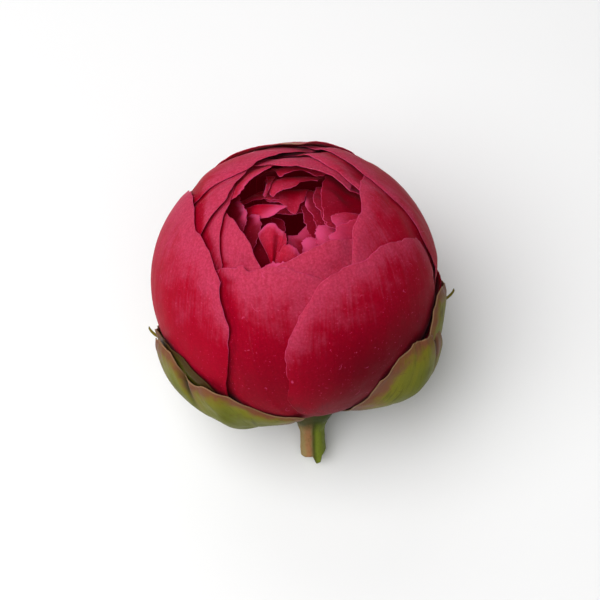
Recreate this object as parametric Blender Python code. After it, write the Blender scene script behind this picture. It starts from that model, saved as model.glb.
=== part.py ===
"""Opening double peony bud, picked with a short stem and laid down, leaning back on its sepals.

The shapes are worked out in the bud's own frame, in millimetres and degrees: the origin is the
centre of the ball, +Z the growth axis, azimuth 0 the front (-Y) and azimuth 90 the right (+X).
lay_down() then leans the growth axis back, sets the lowest point on z = 0 and turns the
millimetres into metres.
"""
import math

import bmesh
import bpy
import numpy as np

# ---- driving dimensions: millimetres and degrees ----
BALL_RADIUS = 38.5          # outside of the petals, square to the growth axis
BALL_HALF_HEIGHT = 36.9     # outside of the petals, along the growth axis
LEAN = 43.62                # growth axis, measured back from the vertical
GAP = 0.35                  # between pieces that touch on the real bud

PETAL = 0.5                 # thickness of a guard petal
LAYER = 1.27                # one petal and the space to the petal over it
FADE = 17.0                 # how far beyond a petal's edge its neighbours take to close over it
FOOT = 162.0                # polar angle of the petals' feet

SEPAL = 0.8                 # thickness of a sepal
SEPAL_LAYER = 1.45          # one sepal and the space to the sepal over it
SEPAL_FADE = 7.0            # how far beyond a sepal's edge the next one takes to close over it
SEPAL_FOOT = 168.0          # polar angle of the sepals' feet

INNER = 0.4                 # thickness of an inner petal
CORE_MARGIN = 2.1           # between the guard petals and the outermost ring of inner petals
CORE_FADE = 50.0            # over how many degrees the core steps in under a guard petal
MOUTH_TILT = 40.0           # axis of the inner petals, leaning forward to the bud's mouth
MOUTH_DEPTH = 50.0          # polar angle where that axis has its full tilt
RING_SPACE = 3.15           # from one ring of inner petals to the next
RING_CLOSE = 0.35           # share of it that is left at the feet
RING_TILT = 1.05            # each inner petal goes under one neighbour and over the other
INNER_OVERLAP = 1.3         # width of an inner petal over its share of its ring
INNER_CLAW = 0.75           # the same at its foot
INNER_OPENS = 55.0          # degrees above the foot where an inner petal has its full width
INNER_CORNER = 16.0         # how far its corners end below its tip
INNER_ROUND = 2.5           # power of the curve from the tip to the corners

STEM_RADIUS = 3.35
STEM_SIDES = 20
STEM_END = 52.4             # cut end, measured from the centre of the ball
STEM_TIP = 54.9             # torn tip beside the cut
STEM_TEAR = (-0.5, 0.6)     # across the cut end, from where it is straight to where the tip is
STEM_SLOPE = 0.6            # how far the cut rises again from the tip to the stem's side
STEM_SHIFT = -1.0           # the stem grows a little left of the growth axis
STEM_LEAN = 0.6             # and its end leans further to the left
RECEPTACLE_TOP = 19.0       # its heights, too, are measured down from the centre of the ball
RECEPTACLE_DOME = ((2.6, 19.4), (4.6, 20.6), (6.2, 23.0))
RECEPTACLE_CONE = (28.0, 31.5, 34.6)
RECEPTACLE_CLEARANCE = 0.012
RECEPTACLE_NECK = ((7.4, 36.1), (7.2, 37.6), (6.3, 39.6), (4.3, 42.4), (STEM_RADIUS, 45.0))
NECK_SHIFT = (38.0, 8.0)    # height where the shift to the left starts, and its length

# Each guard petal: midrib azimuth; polar angle of its top edge from the left corner to the right
# one; half-widths of its left and right side from the foot up to the corners. Innermost first.
GUARD_PETALS = {
    "petal_left_lining": (-55, (50, 40, 37, 41.5, 55), (7, 24, 36, 36, 28), (7, 24, 38, 40, 36)),
    "petal_roof": (180, (-27, -19.5, -16, -13, -2), (7, 26, 42, 42, 27), (7, 26, 42, 40, 30)),
    "petal_front_inner": (30, (58, 56, 57, 60, 68), (7, 24, 38, 44, 44), (7, 24, 36, 38, 32)),
    "petal_left_sliver": (-78, (34, 24, 22, 27, 52), (7, 24, 34, 34, 28), (7, 24, 38, 42, 38)),
    "petal_back_right": (125, (18, 7, 2, 1, 8), (7, 26, 42, 44, 42), (7, 24, 38, 36, 28)),
    "petal_right_upper": (68, (60, 45, 39, 38, 46), (7, 25, 42, 44, 40), (7, 24, 36, 36, 28)),
    "petal_left_upper": (-108, (14, 4, 2, 12, 36), (7, 24, 38, 36, 28), (7, 26, 44, 50, 43)),
    "petal_front_middle": (-8, (72, 61, 63, 68, 82), (7, 22, 36, 42, 38), (7, 22, 36, 40, 36)),
    "petal_back_left": (-135, (2, -6, -5, 3.5, 30), (7, 24, 38, 38, 30), (7, 25, 40, 42, 38)),
    "petal_front_right": (42, (78, 66, 65, 67, 82), (7, 24, 46, 49, 42), (7, 24, 38, 38, 30)),
    "petal_left_outer": (-82, (50, 42, 40, 40, 43.5, 44, 57), (7, 24, 38, 40, 32),
                         (7, 29, 48, 54, 46)),
    "petal_right_outer": (118, (40, 23, 17, 17, 28), (7, 25, 37, 46, 38), (7, 24, 38, 40, 32)),
    "petal_back_outer": (175, (24, 16, 13, 14, 24), (7, 24, 38, 40, 30), (7, 24, 38, 40, 30)),
    "petal_right_low": (96, (98, 96, 95, 97, 102), (7, 18, 24, 22, 16), (7, 18, 26, 26, 20)),
}

# Sepals and bracts, laid over the petals in this order. Azimuth, top edge and half-widths as above;
# how far each cup stands off the ball from its top edge down to its foot; and the side where it
# lies close instead: 1 its right side, -1 its left side, 0 neither.
SEPALS = {
    "sepal_left_inner": (-84, (114, 106, 103, 104, 113), (4, 14, 24, 26, 20), (4, 12, 22, 32, 28),
                         (0.3, 0.5, 0.5, 0.3, 0, 0), 0),
    "sepal_left": (-52, (101, 106, 113, 118, 130), (4, 12, 24, 28, 22), (4, 11, 19, 27, 28),
                   (0.3, 1.6, 2.6, 2.2, 0.4, 0), 1),
    "sepal_right_upper": (92, (106, 100, 98, 100, 108), (4, 12, 22, 24, 20), (4, 14, 24, 24, 18),
                          (1.2, 1.6, 1.8, 1.0, 0, 0), 0),
    "sepal_right": (52, (132, 118, 110, 108, 112), (4, 11, 19, 25, 22), (4, 14, 24, 26, 20),
                    (1.4, 3.0, 3.2, 1.8, 0, 0), -1),
    "sepal_back_left": (-134, (112, 102, 99, 101, 110), (4, 14, 23, 25, 20), (4, 14, 24, 26, 20),
                        (3.4, 4.2, 3.6, 1.8, 0.3, 0), 0),
    "sepal_back_right": (134, (110, 101, 99, 102, 112), (4, 14, 24, 26, 20), (4, 14, 23, 25, 20),
                         (3.4, 4.2, 3.6, 1.8, 0.3, 0), 0),
    "bract_left": (-106, (110, 107, 106, 107, 110), (2.5, 5, 5.5, 4.5, 1.2),
                   (2.5, 5, 5.5, 4.5, 1.2), (5.0, 4.6, 3.8, 2.2, 0.4, 0), 0),
    "bract_right": (108, (113, 110, 108, 110, 113), (2.5, 5, 5.5, 4.5, 1.2),
                    (2.5, 5, 5.5, 4.5, 1.2), (7.6, 5.4, 4.0, 2.2, 0.4, 0), 0),
}

# Rings of inner petals from the outside in: azimuth of the first, cells across each, and how far
# from the mouth's axis the tip of each ends.
RINGS = (
    (0, 5, (17, 19, 20, 24, 24, 22, 18)),
    (25, 5, (14, 17, 20, 20, 18, 14)),
    (-5, 6, (12, 15, 17, 16, 13)),
    (20, 6, (9, 12, 14, 12, 10)),
    (-15, 7, (7, 9, 10, 8)),
)

# ---- how finely the surfaces are cut ----
PETAL_CELLS = 8             # across a guard petal
PETAL_CELL = 13.0           # degrees along it
INNER_CELL = 17.5           # degrees along an inner petal
SEPAL_CELLS = (6, 6)        # across and along
BRACT_CELLS = (2, 8)
SHARP_EDGE = 50.0

# ---- colours ----
CRIMSON = (0.52, 0.01, 0.045)
DEEP_CRIMSON = (0.36, 0.004, 0.025)
SEPAL_GREEN = (0.2, 0.23, 0.05)
STEM_GREEN = (0.16, 0.2, 0.04)
PETAL_ROUGHNESS = 0.5
GREEN_ROUGHNESS = 0.55


# ---- directions from the centre of the ball ----
def midrib_frame(azimuth):
    """Outward and sideways unit vectors of a petal whose midrib runs up at this azimuth."""
    a = math.radians(azimuth)
    outward = np.array([math.sin(a), -math.cos(a), 0.0])
    sideways = np.array([math.cos(a), math.sin(a), 0.0])
    return outward, sideways


def direction(azimuth, along, across):
    """Unit vectors at the angle `along` from the top, down the midrib, and `across` beside it."""
    outward, sideways = midrib_frame(azimuth)
    q, s = np.radians(along)[..., None], np.radians(across)[..., None]
    up = np.array([0.0, 0.0, 1.0])
    return np.cos(s) * (np.sin(q) * outward + np.cos(q) * up) + np.sin(s) * sideways


def angles(azimuth, d):
    """The angles along and across the midrib of unit vectors: the inverse of direction()."""
    outward, sideways = midrib_frame(azimuth)
    across = np.degrees(np.arcsin(np.clip(d @ sideways, -1, 1)))
    along = np.degrees(np.arctan2(d @ outward, d[..., 2]))
    return np.where(along < -120, along + 360, along), across


def smooth(x):
    """Smooth step from 0 to 1."""
    x = np.clip(x, 0, 1)
    return x * x * (3 - 2 * x)


def curve(values, t):
    """Smooth curve through evenly spaced values, t from 0 to 1 (Catmull-Rom)."""
    v = np.asarray(values, float)
    v = np.concatenate([[2 * v[0] - v[1]], v, [2 * v[-1] - v[-2]]])
    s = np.clip(t, 0, 1) * (len(v) - 3)
    i = np.minimum(s.astype(int), len(v) - 4)
    f = s - i
    a, b, c, d = v[i], v[i + 1], v[i + 2], v[i + 3]
    return b + 0.5 * f * (c - a + f * (2 * a - 5 * b + 4 * c - d + f * (3 * (b - c) + d - a)))


class Outline:
    """A petal's edge on the ball. u runs across it from -1 to 1, v from the foot to the tip."""

    def __init__(self, azimuth, top, left, right, foot=FOOT):
        self.azimuth, self.top, self.left, self.right, self.foot = azimuth, top, left, right, foot

    def tip(self, u):
        return curve(self.top, (u + 1) / 2)

    def width(self, u, v):
        return np.where(u < 0, curve(self.left, v), curve(self.right, v))

    def direction(self, u, v):
        return direction(self.azimuth, self.foot + (self.tip(u) - self.foot) * v,
                         self.width(u, v) * u)

    def outside(self, d):
        """Degrees by which unit vectors lie outside the edge, negative inside it."""
        along, across = angles(self.azimuth, d)
        u = np.zeros_like(along)
        for _ in range(4):
            v = (self.foot - along) / (self.foot - self.tip(np.clip(u, -1, 1)))
            half = self.width(across, v)
            u = across / half
        side = np.abs(across) - half
        over = (v - 1) * (self.foot - self.tip(np.clip(u, -1, 1)))
        return np.maximum(np.maximum(side, over), along - self.foot)


GUARDS = {name: Outline(*row) for name, row in GUARD_PETALS.items()}
CALYX = {name: Outline(*row[:4], SEPAL_FOOT) for name, row in SEPALS.items()}


# ---- how far out each layer lies ----
def polar(d):
    return np.degrees(np.arccos(np.clip(d[..., 2], -1, 1)))


def ball(d):
    """Outside radius of the whole ball of petals."""
    p = np.radians(polar(d))
    return 1 / np.sqrt((np.sin(p) / BALL_RADIUS) ** 2 + (np.cos(p) / BALL_HALF_HEIGHT) ** 2)


def stack(outlines, d, fade):
    """How many of these outlines hold each direction, each fading to 0 outside its edge."""
    return sum((smooth(1 - (o.outside(d) - 1) / fade) for o in outlines), np.zeros(d.shape[:-1]))


def guard_radius(name, d):
    """Inside radius of a guard petal: every petal listed after it lies between it and the ball."""
    names = list(GUARDS)
    over = [GUARDS[n] for n in names[names.index(name) + 1:]]
    return ball(d) - PETAL - LAYER * stack(over, d, FADE)


def core(d):
    """Outside of the inner petals: a smooth surface inside every guard petal."""
    layers = sum(smooth(0.5 - guard.outside(d) / CORE_FADE) for guard in GUARDS.values())
    return ball(d) - PETAL - LAYER * layers - CORE_MARGIN


def sepal_radius(name, d, u, v):
    """Inside radius of a sepal: over the petals and the sepals before it, standing off as a cup."""
    names = list(CALYX)
    under = [CALYX[n] for n in names[:names.index(name)]]
    stand, close_side = SEPALS[name][4:]
    cup = curve(stand, 1 - v) * smooth(1 - close_side * u)
    return ball(d) + GAP + cup + SEPAL_LAYER * stack(under, d, SEPAL_FADE)


# ---- meshes ----
def grid(cells):
    across, along = cells
    return np.meshgrid(np.linspace(-1, 1, across + 1), np.linspace(0, 1, along + 1))


def shell_mesh(inner, outer):
    """Closed sheet between two grids of points: two skins and the edge that joins them."""
    rows, cols = inner.shape[:2]
    index = np.arange(rows * cols).reshape(rows, cols)
    quads = np.stack([index[:-1, :-1], index[:-1, 1:], index[1:, 1:], index[1:, :-1]], -1)
    quads = quads.reshape(-1, 4)
    rim = np.concatenate([index[0, :-1], index[:-1, -1], index[-1, :0:-1], index[:0:-1, 0]])
    nxt = np.roll(rim, -1)
    skin = rows * cols
    sides = np.stack([rim, rim + skin, nxt + skin, nxt], -1)
    points = np.concatenate([inner.reshape(-1, 3), outer.reshape(-1, 3)])
    faces = np.concatenate([quads[:, ::-1], quads + skin, sides[:, ::-1]])
    return points, faces.tolist()


def sheet(d, radius, thickness):
    return shell_mesh(d * radius[..., None], d * (radius + thickness)[..., None])


def material(name, color, roughness):
    mat = bpy.data.materials.new(name)
    mat.use_nodes = True
    shader = mat.node_tree.nodes["Principled BSDF"]
    shader.inputs["Base Color"].default_value = (*color, 1)
    shader.inputs["Roughness"].default_value = roughness
    shader.inputs["Metallic"].default_value = 0
    return mat


def add_piece(name, points, faces, color, roughness):
    mesh = bpy.data.meshes.new(name)
    mesh.from_pydata(points.tolist(), [], faces)
    mesh.update()
    work = bmesh.new()
    work.from_mesh(mesh)
    bmesh.ops.triangulate(work, faces=work.faces)
    bmesh.ops.recalc_face_normals(work, faces=work.faces)
    work.to_mesh(mesh)
    work.free()
    mesh.shade_smooth()
    mesh.set_sharp_from_angle(angle=math.radians(SHARP_EDGE))
    mesh.materials.append(material(name, color, roughness))
    piece = bpy.data.objects.new(name, mesh)
    bpy.context.scene.collection.objects.link(piece)
    return piece


def make_guard_petals():
    for name, outline in GUARDS.items():
        u, v = grid((PETAL_CELLS, round((outline.foot - outline.tip(0)) / PETAL_CELL)))
        d = outline.direction(u, v)
        skins = sheet(d, guard_radius(name, d), PETAL)
        add_piece(name, *skins, CRIMSON, PETAL_ROUGHNESS)


def make_sepals():
    for name, outline in CALYX.items():
        u, v = grid(BRACT_CELLS if name.startswith("bract") else SEPAL_CELLS)
        d = outline.direction(u, v)
        skins = sheet(d, sepal_radius(name, d, u, v), SEPAL)
        add_piece(name, *skins, SEPAL_GREEN, GREEN_ROUGHNESS)


def inner_direction(azimuth, along):
    """Directions of inner petals: `along` is the angle from the mouth's axis, which leans forward
    at the tips, bends back on the way down and is the growth axis at the feet."""
    a, q = np.radians(azimuth), np.radians(along)
    turn = np.radians(MOUTH_TILT) * smooth((FOOT - along) / (FOOT - MOUTH_DEPTH))
    x, y, z = np.sin(a) * np.sin(q), -np.cos(a) * np.sin(q), np.cos(q)
    return np.stack([x, y * np.cos(turn) - z * np.sin(turn),
                     y * np.sin(turn) + z * np.cos(turn)], -1)


def make_inner_petals():
    """Each ring lies inside the last. A petal goes under one neighbour and over the other."""
    for ring, (first, cells, reaches) in enumerate(RINGS):
        share = 360 / len(reaches)
        for number, reach in enumerate(reaches):
            back = -math.cos(math.radians(first + number * share))
            u, v = grid((cells, round((FOOT - reach + MOUTH_TILT * back) / INNER_CELL)))
            tip = reach + INNER_CORNER * np.abs(u) ** INNER_ROUND
            along = FOOT + (tip - FOOT) * v
            opened = smooth((FOOT - along) / INNER_OPENS)
            width = INNER_CLAW + (INNER_OVERLAP - INNER_CLAW) * opened
            d = inner_direction(first + (number + 0.5 * width * u) * share, along)
            depth = ring * RING_SPACE * (RING_CLOSE + (1 - RING_CLOSE) * opened)
            radius = core(d) - depth - RING_TILT * (1 - u) * opened
            skins = sheet(d, radius - INNER, INNER)
            add_piece(f"inner_{ring + 1}_{number + 1}", *skins, DEEP_CRIMSON, PETAL_ROUGHNESS)


def make_stem():
    """Turned receptacle and stem. The cut end has a torn tip beside its straight half."""
    cone = math.tan(math.radians(180 - FOOT)) - RECEPTACLE_CLEARANCE
    profile = [*RECEPTACLE_DOME, *((z * cone, z) for z in RECEPTACLE_CONE), *RECEPTACLE_NECK]
    turn = np.arange(STEM_SIDES) * 2 * math.pi / STEM_SIDES
    start, length = NECK_SHIFT
    points = [(0.0, 0.0, -RECEPTACLE_TOP)]
    for radius, depth in profile:
        shift = STEM_SHIFT * smooth((depth - start) / length)
        points += [(radius * math.sin(a) + shift, -radius * math.cos(a), -depth) for a in turn]
    x, y = STEM_RADIUS * np.sin(turn), -STEM_RADIUS * np.cos(turn)
    torn = np.interp(x, (*STEM_TEAR, STEM_RADIUS), (0, STEM_TIP - STEM_END, -STEM_SLOPE))
    end = STEM_SHIFT - STEM_LEAN
    points += list(zip(x + end, y, -STEM_END - torn))
    points.append((end, 0.0, -STEM_END))
    rings = len(profile) + 1
    faces = []
    for k in range(STEM_SIDES):
        n = (k + 1) % STEM_SIDES
        faces.append([0, 1 + k, 1 + n])
        for r in range(rings - 1):
            a, b = 1 + r * STEM_SIDES, 1 + (r + 1) * STEM_SIDES
            faces.append([a + k, b + k, b + n, a + n])
        last = 1 + (rings - 1) * STEM_SIDES
        faces.append([last + k, len(points) - 1, last + n])
    add_piece("stem", np.array(points), faces, STEM_GREEN, GREEN_ROUGHNESS)


def lay_down():
    """Leans the bud back and rests its lowest point on z = 0, centred over the origin."""
    lean = math.radians(LEAN)
    pieces = list(bpy.context.scene.objects)
    turn = np.array([[1, 0, 0], [0, math.cos(lean), math.sin(lean)],
                     [0, -math.sin(lean), math.cos(lean)]])
    places = {}
    for piece in pieces:
        flat = np.empty(len(piece.data.vertices) * 3)
        piece.data.vertices.foreach_get("co", flat)
        places[piece] = flat.reshape(-1, 3) @ turn.T
    low = np.min([p.min(0) for p in places.values()], 0)
    high = np.max([p.max(0) for p in places.values()], 0)
    base = np.array([(low[0] + high[0]) / 2, (low[1] + high[1]) / 2, low[2]])
    for piece, place in places.items():
        piece.data.vertices.foreach_set("co", ((place - base) * 0.001).ravel())
        piece.data.update()


def main():
    for old in list(bpy.data.objects):
        bpy.data.objects.remove(old, do_unlink=True)
    make_guard_petals()
    make_sepals()
    make_inner_petals()
    make_stem()
    lay_down()


main()
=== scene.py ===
"""Looks of an opening double peony bud that lies on a pale floor, leaning back on its sepals.

Every surface is worked out in the bud's own frame, in millimetres and degrees: the origin is the
centre of the ball, +Z the growth axis, azimuth 0 the front (-Y) and azimuth 90 the right (+X). A
polar angle is measured from the growth axis. place() then lays the points where the CAD model is.
Irregular curves are seeded from each piece's row in its table, so every run gives the same bud.
"""
import math
from collections import namedtuple

import bpy
import numpy as np
from mathutils import Matrix, Vector


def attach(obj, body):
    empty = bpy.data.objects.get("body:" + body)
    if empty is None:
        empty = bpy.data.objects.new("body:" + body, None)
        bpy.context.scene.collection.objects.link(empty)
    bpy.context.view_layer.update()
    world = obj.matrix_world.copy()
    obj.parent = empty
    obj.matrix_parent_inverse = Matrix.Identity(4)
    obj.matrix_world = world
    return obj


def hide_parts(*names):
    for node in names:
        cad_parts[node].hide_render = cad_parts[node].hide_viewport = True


bl_info = {
    "name": "Peony bud",
    "version": (1, 0, 0),
    "blender": (4, 5, 0),
    "location": "3D View > Sidebar > Peony bud",
    "description": "Petals, sepals, bracts and stem of an opening double peony bud",
    "category": "Add Mesh",
}

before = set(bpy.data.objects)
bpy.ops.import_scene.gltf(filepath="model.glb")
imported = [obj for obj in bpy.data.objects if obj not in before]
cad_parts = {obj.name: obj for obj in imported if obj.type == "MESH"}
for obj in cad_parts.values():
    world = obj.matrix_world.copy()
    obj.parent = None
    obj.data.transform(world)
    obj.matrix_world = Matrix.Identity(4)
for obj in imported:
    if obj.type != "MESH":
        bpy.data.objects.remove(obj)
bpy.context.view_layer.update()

# ---- the frame: where the bud's own axes lie in the model ----
LEAN = math.radians(43.62)          # growth axis, measured back from the vertical
TURN = np.array([[1, 0, 0],
                 [0, math.cos(LEAN), math.sin(LEAN)],
                 [0, -math.sin(LEAN), math.cos(LEAN)]])
RECEPTACLE_TOP = 19.0               # depth of the receptacle's apex below the centre of the ball
MILLIMETRE = 0.001


def ball_centre():
    """Centre of the ball: straight up the growth axis from the receptacle's apex, which is the
    stem node's farthest point along that axis. In metres, in the model's frame."""
    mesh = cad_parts["stem"].data
    flat = np.empty(len(mesh.vertices) * 3)
    mesh.vertices.foreach_get("co", flat)
    points = flat.reshape(-1, 3)
    axis = TURN[:, 2]
    apex = points[np.argmax(points @ axis)]
    return apex + axis * RECEPTACLE_TOP * MILLIMETRE


CENTRE = ball_centre()


def place(points):
    """Millimetres in the bud's frame to metres in the model's frame."""
    return CENTRE + MILLIMETRE * points @ TURN.T


# ---- the construction that the CAD model follows ----
BALL_RADIUS = 38.5          # outside of the petals, square to the growth axis
BALL_HALF_HEIGHT = 36.9     # outside of the petals, along the growth axis
UNEVEN = 0.22               # how far the ball of petals is from even
UNEVEN_SIZE = 26            # width of its swellings
LAYER = 1.1                 # one petal and the space to the petal over it
FADE = 12.0                 # how far beyond a petal's edge its neighbours take to close over it
FOOT = 162.0                # polar angle of the petals' feet
PETAL = 0.42                # thickness of a guard petal
INNER_RISE = 0.12           # per degree that the inner petals rise inside the bud's mouth
INNER_CLEARANCE = 0.1       # under the guard petals
MOUTH_DROP = 0.5            # of the inner petals below the ball, where no guard petal lies
SOFTNESS = 3.0              # of the step between two guard petals, as the inner petals follow it
INNER_STEP = 0.43           # from one inner petal down to the next
INNER_FOOT = 0.55           # share of that step at the petals' feet
INNER_OPENS = 55.0          # angle above the feet at which the steps are full
INNER_PETAL = 0.3           # thickness of an inner petal
INNER_RADIUS = 32.0         # at which an inner petal's width is measured
BEND_REACH = 22.0           # how far down a petal the bends of its tip edge reach, in degrees
FOLD_OPENS = 6.0            # how far below an inner petal's tip edge its fold is full, in degrees
TAPER = 0.85                # share of its width that a tapering side loses
MOUTH_TILT = 40.0           # axis of the inner petals, leaning forward to the bud's mouth
MOUTH_DEPTH = 50.0          # angle down the midrib above which that lean is full
PRESSED = 2.5               # degrees over which a guard petal's edge is pressed down
LIFTED = 5.0                # degrees over which it lifts
# Thickness at the edge, as a share of the full one, and the distance over which it grows to that.
GUARD_THINS, INNER_THINS, SEPAL_THINS = (0.2, 1.6), (0.3, 1.2), (0.35, 2.5)
GAP = 0.35                  # between the ball and a sepal
SEPAL_RADIUS = 40.0         # at which a sepal's width is measured
SEPAL_LAYER = 1.4           # one sepal and the space to the sepal over it
SEPAL_FADE = 7.0            # how far beyond a sepal's edge the next one takes to close up
SEPAL_FOOT = 168.0          # polar angle of the sepals' feet
STEM_RADIUS = 3.35          # half of the stem's width at the cut
STEM_SIDES = 96
STEM_START = 38.0           # depth at which the receptacle has become the stem
STEM_END = 52.4             # depth of the cut below the centre of the ball
STEM_TEAR = 2.5             # length of the torn tip past the cut
STEM_SHIFT = -1.0           # of the stem beside the growth axis
STEM_LEAN = 0.6             # of its end, farther to the left
# Receptacle and stem, from the hidden apex down to the cut: radius and depth.
STEM_PROFILE = ((0.0, 19.0), (2.6, 19.4), (4.6, 20.6), (6.2, 23.0), (8.76, 28.0), (9.86, 31.5),
                (10.8, 34.6), (7.4, 36.1), (7.2, 37.6), (6.3, 39.6), (4.5, 42.4), (3.65, 45.0),
                (3.6, STEM_END))
# Grids: cells across a piece, how much they crowd to its sides, cells up it, and how much they
# crowd to its tip.
GUARD_GRID = (76, 0.35, 104, 0.5)
INNER_GRID = (44, 0.35, 72, 0.7)
SEPAL_GRID = (64, 0.3, 60, 0.5)
BRACT_GRID = (24, 0.3, 60, 0.5)
# First seeds of the irregular curves; each petal, sepal or bract takes the next ten.
BALL_SEED, GUARD_SEED, STEM_SEED, SEPAL_SEED, INNER_SEED = 3, 10, 71, 300, 500

# Each guard petal: midrib azimuth; polar angle of its top edge from the left corner to the right
# one; half-widths of its left and right side from the foot up to the corners; how strongly it
# stands over its neighbours; how far its left edge, top edge and right edge lift, or lie down where
# negative, as a pair where the upper part differs from the lower one; and how rosy it is, all over
# and more to its left. That rose is partly the petal's own colour and partly painted sheen, more on
# the petals and sides that face the light.
GuardPetal = namedtuple("GuardPetal", "azimuth top left right strength lifts rosiness")
GUARD_PETALS = {name: GuardPetal(*row) for name, row in {
    "petal_left_lining": (-55, (50, 45, 40, 38, 37, 38, 41.4, 46.3, 55), (7, 24, 36, 36, 28),
        (7, 24, 38, 40, 36), 0.9, (-0.2, 0.1, 0.1), (0.15, 0)),
    "petal_roof": (180, (-30, -21.5, -19, -17, -15.7, -9, 0, 8, 14), (7, 26, 42, 42, 27),
        (7, 26, 42, 40, 30), 0.9, (0, 0.3, 0), (0.1, 0)),
    "petal_front_inner": (30, (53, 57, 56, 56, 57.3, 58.5, 60, 63, 68), (7, 24, 38, 44, 44),
        (7, 24, 36, 38, 32), 0.9, (-0.2, 0.2, -0.2), (0.12, 0)),
    "petal_left_sliver": (-78, (34, 24, 22, 27, 52), (7, 24, 34, 34, 28), (7, 24, 38, 42, 38), 0.9,
        (0, -0.1, -0.3), (0.15, 0)),
    "petal_back_right": (125, (19, 10.8, 7.2, 6.4, 6, 3, 1, 3, 8), (7, 26, 42, 44, 42),
        (7, 24, 38, 36, 28), 0.9, (-0.3, -0.2, -0.2), (-0.1, 0)),
    "petal_right_upper": (68, (61, 48.8, 45.2, 40.2, 38, 37.5, 38, 41, 46), (7, 25, 42, 44, 40),
        (7, 24, 36, 36, 28), 0.9, (0.1, -0.2, -0.2), (-0.08, 0.12)),
    "petal_left_upper": (-108, (14, 9, 4, 1, -0.5, 8.3, 12.4, 17, 36), (7, 24, 38, 36, 28),
        (7, 26, 44, 50, 43), 1.0, (0, -0.1, -0.1), (0, 0)),
    "petal_front_middle": (-8, (74, 63, 60.6, 62.3, 62.8, 64.6, 68.8, 74.5, 84),
        (7, 22, 36, 42, 38), (7, 22, 36, 40, 36), 0.8, (-0.2, -0.25, -0.2), (0.07, 0)),
    "petal_back_left": (-135, (2, -3, -6, -6.5, -4.5, -0.8, 1.5, 13, 30), (7, 24, 38, 38, 30),
        (7, 25, 40, 42, 38), 0.8, (-0.3, -0.3, -0.35), (0, 0)),
    "petal_front_right": (42, (78, 68.8, 65.6, 66.2, 65, 65.3, 67.2, 69.6, 80),
        (7, 38, 46.5, 49, 42), (7, 24, 38, 38, 30), 0.7, (-0.2, -0.2, -0.2), (-0.06, 0.16)),
    "petal_left_outer": (-82, (50, 44, 41.5, 40, 39.2, 41, 46.5, 48.2, 57), (7, 24, 38, 40, 32),
        (7, 29, 48, 54, 46), 0.9, (0.1, -0.25, (-0.4, 0.3)), (0.08, 0)),
    "petal_right_outer": (118, (40, 27.5, 23, 18.3, 16.8, 16.6, 17.5, 21, 28), (7, 25, 37, 46, 38),
        (7, 24, 38, 40, 32), 0.7, (-0.3, -0.25, -0.2), (-0.05, 0)),
    "petal_back_outer": (175, (24, 19, 9, 4, 7, 12, 14.5, 17, 24), (7, 24, 38, 40, 30),
        (7, 24, 38, 40, 30), 0.8, (0, 0.5, 0), (0, 0)),
    "petal_right_low": (96, (98, 96, 95, 97, 102), (7, 18, 24, 22, 16), (7, 18, 26, 26, 20), 0.8,
        (0.3, 0.4, 0.3), (-0.3, 0)),
}.items()}
# Small points that stick out of a guard petal's top edge: place across it and length in degrees.
GUARD_NICKS = {"petal_front_middle": (-0.33, 2.0)}
# Guard petals with painted shade towards their foot and right side, away from the key light: how
# much, and how far up.
GUARD_PAINTED_SHADE = {"petal_front_right": (0.85, 0.95), "petal_front_middle": (0.4, 0.95),
                "petal_right_low": (0.7, 1.6)}
# Guard petals that cast a painted shadow beside their edges onto the petals under them, which stay
# deep crimson there: how much, and how far.
GUARD_CAST_SHADOWS = {"petal_left_outer": (1.0, 8.0), "petal_left_upper": (0.7, 4.5),
                "petal_left_sliver": (0.8, 4.0)}
# Guard petals with a faded tip: place across it, half-width there, and degrees down from its edge.
GUARD_FADES = {"petal_back_outer": (-0.18, 0.22, 12)}

# Sepals and bracts, laid over the petals in this order. Azimuth, top edge and half-widths as for
# the guard petals; how far the sepal stands off the petals, from its top to its foot; and the
# side, -1 left or 1 right, on which it closes up to them.
Sepal = namedtuple("Sepal", "azimuth top left right stand close_side")
SEPALS = {name: Sepal(*row) for name, row in {
    "sepal_left_inner": (-84, (114, 107, 103, 101, 100, 100, 99.3, 100.6, 104), (4, 14, 24, 26, 20),
        (4, 12, 26, 36.5, 27.5), (0.3, 0.5, 0.5, 0.3, 0, 0), 0),
    "sepal_left": (-52, (99.5, 99, 99.8, 103.5, 112.5, 112.5, 121, 135, 145), (4, 12, 24, 28, 22),
        (4, 11, 19, 27, 28), (0.3, 1.8, 3.2, 3.0, 0.8, 0), 1),
    "sepal_right_upper": (92, (101, 95.5, 96, 97, 98, 99, 100, 103, 108), (4, 14, 26, 31, 30),
        (4, 14, 24, 24, 18), (0.5, 1.7, 2.4, 1.8, 0.3, 0), 0),
    "sepal_right": (52, (124, 115, 112, 109.4, 107.6, 108, 109, 110, 114), (4, 8, 13, 14, 15),
        (4, 14, 24, 26, 20), (0.4, 2.8, 4.2, 2.9, 0.5, 0), -1),
    "sepal_back_left": (-134, (112, 102, 99, 101, 110), (4, 14, 23, 25, 20), (4, 14, 24, 26, 20),
        (3.4, 4.2, 3.6, 1.8, 0.3, 0), 1),
    "sepal_back_right": (134, (110, 101, 99, 102, 112), (4, 14, 24, 26, 20), (4, 14, 23, 25, 20),
        (3.4, 4.2, 3.6, 1.8, 0.3, 0), -1),
    "bract_left": (-106, (106.7, 106.2, 106, 106.2, 106.7), (1.2, 2.2, 1.8, 1.1, 0.2),
        (1.2, 2.2, 1.8, 1.1, 0.2), (3.0, 0.7, 0.5, 0.4, 0.3, 0), 0),
    "bract_right": (108, (108.7, 108.2, 108, 108.2, 108.7), (1.2, 2.2, 1.8, 1.1, 0.2),
        (1.2, 2.2, 1.8, 1.1, 0.2), (4.2, 0.9, 0.5, 0.4, 0.3, 0), 0),
}.items()}
# Folds that run down from a sepal's top edge: place across it, and how far the edge dips there.
SEPAL_FOLDS = {"sepal_left": (-0.2, 5.0), "sepal_right": (0.45, 1.4)}
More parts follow.
